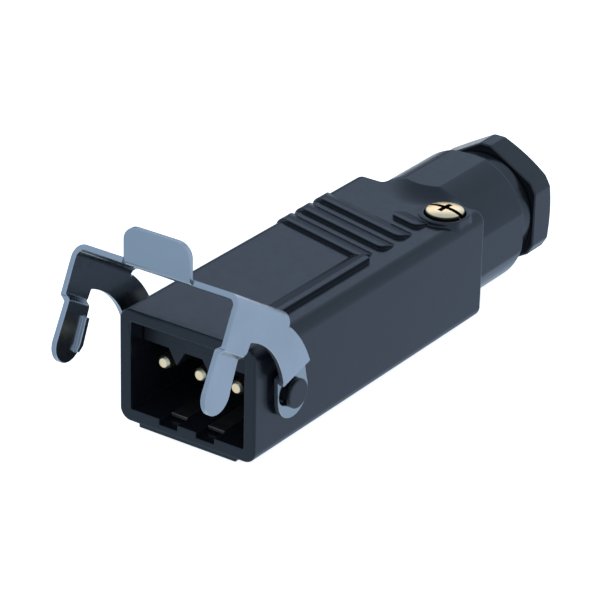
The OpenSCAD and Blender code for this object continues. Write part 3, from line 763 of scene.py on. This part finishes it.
nut = build("cap_nut", f_nut, mirrored((0, 12.6, 0.2)), lines((91.2, 92.2, 0.09), (92.2, 95.6, 0.17), (95.6, 98.6, 0.12)), mirrored((0, 12.6, 0.2)))
stand_in(nut, "gland_cap", "nut_plastic", m_nut, "gland_nut")

clip = build("folded_clip", f_clip, cx_lines, cy_lines, cz_lines)
stand_in(clip, "clip", "clip_metal", m_clip, "locking_clip")

for n, m in (("gland_seal", m_rubber), ("thrust_ring", m_shell)):
    nodes[n].data.materials.clear()
    nodes[n].data.materials.append(m)
for n in nodes:
    if n.startswith(("wire_guard", "terminal_screw", "earth_clamp", "earth_terminal")):
        nodes[n].data.materials.clear()
        nodes[n].data.materials.append(m_earth)

# ---------------------------------------------------------------- floor, light, camera
me = bpy.data.meshes.new("floor")
bm = bmesh.new()
bmesh.ops.create_grid(bm, x_segments=1, y_segments=1, size=3.0)
bm.to_mesh(me)
bm.free()
floor = bpy.data.objects.new("floor", me)
floor.location = (0, 0, -0.01246)
bpy.context.scene.collection.objects.link(floor)
m_floor = bpy.data.materials.new("floor_white")
t, b = nodes_of(m_floor)
t.links.new(ramp(t, noise(t, coords(t), 40, 2), (0.93, 0.93, 0.93), (0.95, 0.95, 0.95)), b.inputs["Base Color"])
b.inputs["Roughness"].default_value = 0.9
b.inputs["Emission Color"].default_value = (1, 1, 1, 1)
b.inputs["Emission Strength"].default_value = 0.88
me.materials.append(m_floor)
floor.visible_diffuse = False
floor.visible_glossy = False

scene = bpy.context.scene
scene.view_settings.view_transform = "Standard"
scene.view_settings.look = "None"
world = bpy.data.worlds.new("studio")
scene.world = world
world.use_nodes = True
wt = world.node_tree
bg = wt.nodes["Background"]
geo = wt.nodes.new("ShaderNodeTexCoord")
sep = wt.nodes.new("ShaderNodeSeparateXYZ")
wt.links.new(geo.outputs["Generated"], sep.inputs[0])


def between(value, lo, hi):
    m = wt.nodes.new("ShaderNodeMapRange")
    m.interpolation_type = "SMOOTHSTEP"
    m.inputs["From Min"].default_value = lo
    m.inputs["From Max"].default_value = hi
    wt.links.new(value, m.inputs["Value"])
    return m.outputs["Result"]


def toward(direction):
    d = wt.nodes.new("ShaderNodeVectorMath")
    d.operation = "DOT_PRODUCT"
    d.inputs[1].default_value = Vector(direction).normalized()
    wt.links.new(geo.outputs["Generated"], d.inputs[0])
    return d.outputs["Value"]


def blend(fac, a, b):
    m = wt.nodes.new("ShaderNodeMix")
    m.data_type = "RGBA"
    wt.links.new(fac, m.inputs[0])
    for sock, c in ((m.inputs[6], a), (m.inputs[7], b)):
        if isinstance(c, tuple):
            sock.default_value = (*c, 1)
        else:
            wt.links.new(c, sock)
    return m.outputs[2]


# an even bluish room, a little dimmer low in front
room = blend(between(toward((-0.511, -0.739, -0.4385)), 0.2, 0.95), (0.52, 0.665, 0.885), (0.41, 0.555, 0.735))
room = blend(between(toward((-0.6, 0.741, -0.3)), 0.87, 0.95), room, (0.88, 0.97, 1.06))
room = blend(between(toward((0.0, 0.0, -1.0)), 0.84, 0.95), room, (0.85, 0.95, 1.06))
room = blend(between(toward((-0.47, 0.67, 0.575)), 0.92, 0.985), room, (0.58, 0.74, 0.975))
room = blend(between(toward((-0.3, 0.1, 0.95)), 0.8, 0.95), room, (0.4, 0.52, 0.69))
room = blend(between(toward((0.05, 0.74, 0.67)), 0.92, 0.98), room, (0.45, 0.58, 0.77))
room = blend(between(toward((-0.611, 0.781, 0.13)), 0.958, 0.984), room, (0.15, 0.19, 0.26))
wt.links.new(room, bg.inputs["Color"])
bg.inputs["Strength"].default_value = 1.0


def area(name, where, aim, size, power, color=(1, 1, 1)):
    L = bpy.data.lights.new(name, "AREA")
    L.shape = "RECTANGLE"
    L.size, L.size_y = size
    L.energy = power
    L.color = color
    o = bpy.data.objects.new(name, L)
    o.location = where
    o.rotation_euler = (Vector(aim) - Vector(where)).to_track_quat("-Z", "Y").to_euler()
    scene.collection.objects.link(o)
    return o



plated = bpy.data.collections.new("plated")
for name in ("cover_screw", "pin_c", "pin_l", "pin_r"):
    plated.objects.link(bpy.data.objects[name])
for name, where, power in (("warm_top", (-0.24, 0.42, 0.23), 0.22), ("warm_front", (-0.25, -0.37, -0.22), 0.115)):
    lamp = area(name, where, (0, 0.03, 0), (0.3, 0.3), power, (1.0, 0.78, 0.52))
    lamp.light_linking.receiver_collection = plated
floor.visible_shadow = False

az, el, roll = (math.radians(a) for a in (34.678, 26.006, 1.2627))
back = Vector((math.sin(az) * math.cos(el), -math.cos(az) * math.cos(el), math.sin(el)))
right = Vector((math.cos(az), math.sin(az), 0))
up = right.cross(-back)
r2 = right * math.cos(roll) + up * math.sin(roll)
u2 = -right * math.sin(roll) + up * math.cos(roll)
cam = bpy.data.cameras.new("camera")
cam.lens = 188.45
cam.sensor_width = 36.0
cam.clip_start = 0.01
cam.clip_end = 20
co = bpy.data.objects.new("camera", cam)
m = Matrix((r2, u2, back)).transposed().to_4x4()
m.translation = Vector((0.276632, -0.367410, 0.240424))
co.matrix_world = m
scene.collection.objects.link(co)
scene.camera = co

bpy.context.view_layer.update()
